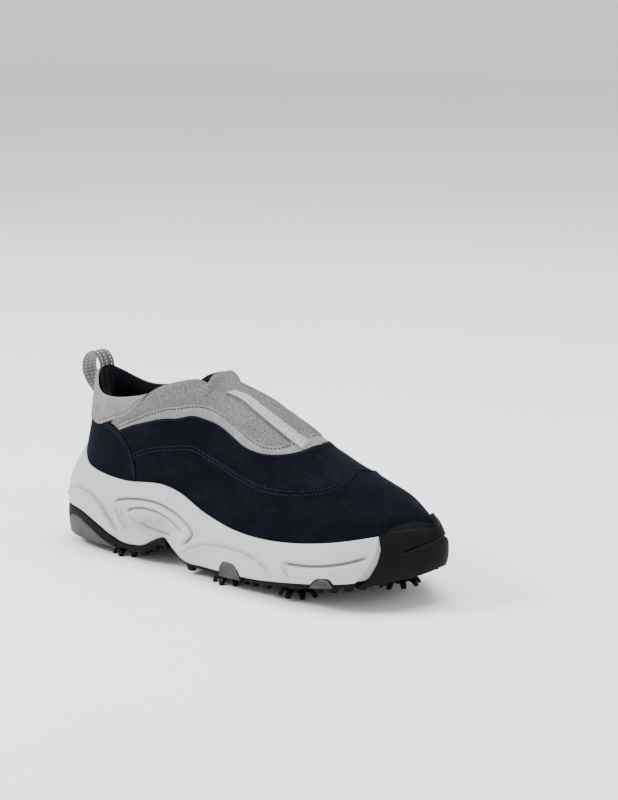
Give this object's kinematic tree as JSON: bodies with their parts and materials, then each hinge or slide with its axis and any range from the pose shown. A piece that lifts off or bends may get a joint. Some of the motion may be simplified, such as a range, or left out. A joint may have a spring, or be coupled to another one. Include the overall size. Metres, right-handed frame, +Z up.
{
  "type": "golf shoe",
  "caption": "Slip-on golf shoe for a right foot: suede and textile upper with a heel pull loop, cushioned midsole, rubber toe bumper and quarter-turn soft spikes under a lugged outsole.",
  "frame": {"origin": "middle of the shoe's bounding box on the ground plane that the spikes stand on", "axes": "+X from heel to toe, +Y to the inner side of the foot, +Z up"},
  "size_m": [0.3158, 0.1125, 0.1376],
  "materials": {
    "navy_suede": "napped suede",
    "navy_nubuck": "napped nubuck",
    "grey_suede": "napped suede",
    "grey_textile": "woven, heather",
    "silver_ribbon": "satin, reflective",
    "loop_webbing": "woven webbing",
    "lining_mesh": "ribbed mesh",
    "board": "fibreboard",
    "sockliner_cloth": "knitted",
    "white_eva": "matte, fine grain",
    "black_rubber": "matte",
    "grey_tpu": "satin",
    "shank_steel": "plain",
    "black_nylon": "satin",
    "black_tpu": "satin"
  },
  "bodies": {
    "shoe": {"heel_counter_cover": "navy_suede", "vamp_panel": "navy_suede", "apron_panel": "navy_nubuck", "instep_trim": "grey_suede", "instep_gore_lateral": "grey_textile", "instep_gore_medial": "grey_textile", "tongue_gusset": "grey_textile", "centre_ribbon": "silver_ribbon", "heel_tab": "grey_suede", "pull_loop": "loop_webbing", "quarter_lining": "lining_mesh", "vamp_lining": "lining_mesh", "collar_padding": "lining_mesh", "counter_stiffener": "board", "toe_puff": "board", "insole_board": "board", "sockliner": "sockliner_cloth", "midsole": "white_eva", "toe_bumper": "black_rubber", "forefoot_outsole": "black_rubber", "heel_outsole": "black_rubber", "heel_insert_lateral": "grey_tpu", "heel_insert_medial": "grey_tpu", "side_insert_lateral_rear": "grey_tpu", "side_insert_lateral_front": "grey_tpu", "side_insert_medial_rear": "grey_tpu", "side_insert_medial_front": "grey_tpu", "shank": "shank_steel", "receptacles": "black_nylon"},
    "spike_heel_lateral": {"spike_heel_lateral": "black_tpu"},
    "spike_heel_medial": {"spike_heel_medial": "black_tpu"},
    "spike_mid_lateral": {"spike_mid_lateral": "black_tpu"},
    "spike_mid_medial": {"spike_mid_medial": "black_tpu"},
    "spike_ball_lateral": {"spike_ball_lateral": "black_tpu"},
    "spike_ball_medial": {"spike_ball_medial": "black_tpu"},
    "spike_toe": {"spike_toe": "black_tpu"}
  },
  "joints": [
    {"name": "spike_heel_lateral_turn", "type": "hinge", "parent": "shoe", "child": "spike_heel_lateral", "pos_m": [-0.088, -0.022, 0.006], "axis": [0, 0, -1], "range_deg": [0, 90]},
    {"name": "spike_heel_medial_turn", "type": "hinge", "parent": "shoe", "child": "spike_heel_medial", "pos_m": [-0.088, 0.027, 0.006], "axis": [0, 0, -1], "range_deg": [0, 90]},
    {"name": "spike_mid_lateral_turn", "type": "hinge", "parent": "shoe", "child": "spike_mid_lateral", "pos_m": [0.013, -0.033, 0.006], "axis": [0, 0, -1], "range_deg": [0, 90]},
    {"name": "spike_mid_medial_turn", "type": "hinge", "parent": "shoe", "child": "spike_mid_medial", "pos_m": [0.017, 0.029, 0.006], "axis": [0, 0, -1], "range_deg": [0, 90]},
    {"name": "spike_ball_lateral_turn", "type": "hinge", "parent": "shoe", "child": "spike_ball_lateral", "pos_m": [0.071, -0.035, 0.008], "axis": [0, 0, -1], "range_deg": [0, 90]},
    {"name": "spike_ball_medial_turn", "type": "hinge", "parent": "shoe", "child": "spike_ball_medial", "pos_m": [0.075, 0.035, 0.008], "axis": [0, 0, -1], "range_deg": [0, 90]},
    {"name": "spike_toe_turn", "type": "hinge", "parent": "shoe", "child": "spike_toe", "pos_m": [0.12237, 0.007, 0.0133], "axis": [0.1219, 0, -0.9925], "range_deg": [0, 90]}
  ]
}
